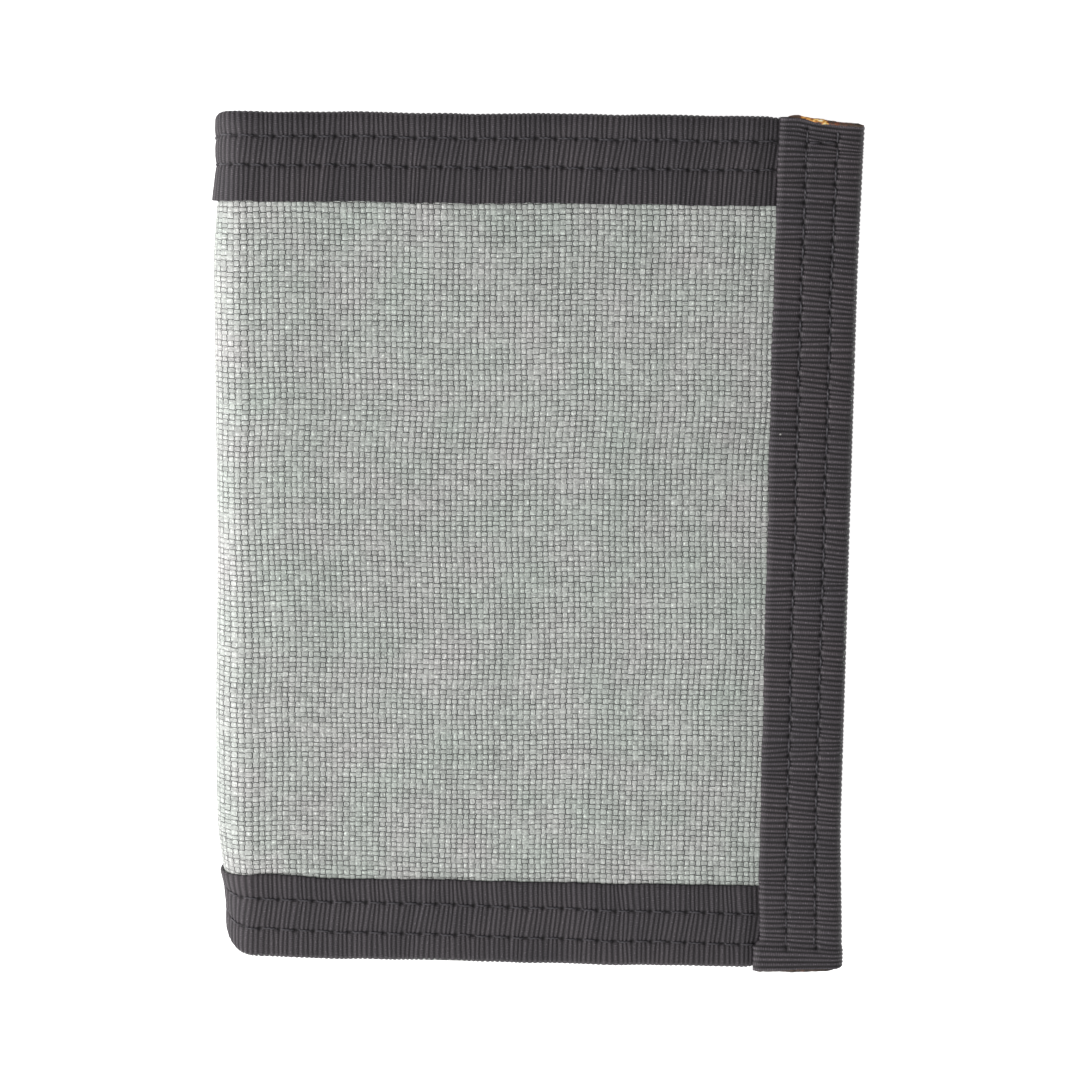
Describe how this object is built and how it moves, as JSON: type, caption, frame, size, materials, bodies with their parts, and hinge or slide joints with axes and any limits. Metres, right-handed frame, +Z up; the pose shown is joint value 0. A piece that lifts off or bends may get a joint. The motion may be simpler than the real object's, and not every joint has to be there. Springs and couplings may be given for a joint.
{
  "type": "bifold wallet",
  "caption": "Upright bifold wallet in coated plain-weave nylon with folded, double-stitched binding tape, a full-height bill compartment, card pockets and a clear card window.",
  "frame": {"origin": "middle of the footprint, on the plane that the closed wallet lies on", "axes": "+X from the fold to the open edge, +Y from the closed bottom edge to the bill mouth, +Z up through the two leaves from the back to the front"},
  "size_m": [0.0888, 0.1206, 0.0106],
  "materials": {
    "shell_cloth": "coated plain-weave nylon, matt with small glints",
    "lining_cloth": "fine plain-weave nylon, matt",
    "binding_tape": "ribbed grosgrain tape, dull",
    "thread": "bonded polyester thread, slight sheen",
    "clear_vinyl": "clear, glossy, slightly soft"
  },
  "bodies": {
    "back_leaf": {"bottom_seam_back": "thread", "bottom_tape_back": "binding_tape", "card_pocket_lower": "lining_cloth", "card_pocket_lower_hems": "lining_cloth", "card_pocket_lower_ribbon": "binding_tape", "card_pocket_lower_seam": "thread", "card_pocket_middle": "lining_cloth", "card_pocket_middle_hems": "lining_cloth", "card_pocket_middle_ribbon": "binding_tape", "card_pocket_middle_seam": "thread", "card_pocket_upper": "lining_cloth", "card_pocket_upper_hems": "lining_cloth", "card_pocket_upper_ribbon": "binding_tape", "card_pocket_upper_seam": "thread", "divider_back": "lining_cloth", "divider_seam_back": "thread", "divider_tape_back": "binding_tape", "shell_back": "shell_cloth", "side_seam_back": "thread", "side_tape_back": "binding_tape", "top_seam_back": "thread", "top_tape_back": "binding_tape"},
    "spine": {"bottom_seam_spine": "thread", "bottom_tape_spine": "binding_tape", "divider_seam_spine": "thread", "divider_spine": "lining_cloth", "divider_tape_spine": "binding_tape", "shell_spine": "shell_cloth", "top_seam_spine": "thread", "top_tape_spine": "binding_tape"},
    "front_leaf": {"bottom_seam_front": "thread", "bottom_tape_front": "binding_tape", "divider_front": "lining_cloth", "divider_seam_front": "thread", "divider_tape_front": "binding_tape", "id_mouth_ribbon": "binding_tape", "id_pocket_hems": "lining_cloth", "id_pocket_seam": "thread", "id_window_borders": "binding_tape", "id_window_pane": "clear_vinyl", "shell_front": "shell_cloth", "side_seam_front": "thread", "side_tape_front": "binding_tape", "top_seam_front": "thread", "top_tape_front": "binding_tape"}
  },
  "joints": [
    {"name": "fold_back", "type": "hinge", "parent": "back_leaf", "child": "spine", "pos_m": [-0.04279, 0, 0.00166], "axis": [0, -1, 0], "range_deg": [0, 90]},
    {"name": "fold_front", "type": "hinge", "parent": "spine", "child": "front_leaf", "pos_m": [-0.04279, 0, 0.00899], "axis": [0, -1, 0], "range_deg": [0, 90]}
  ],
  "couplings": [
    {"joint": "fold_front", "follows": "fold_back", "ratio": 1}
  ]
}
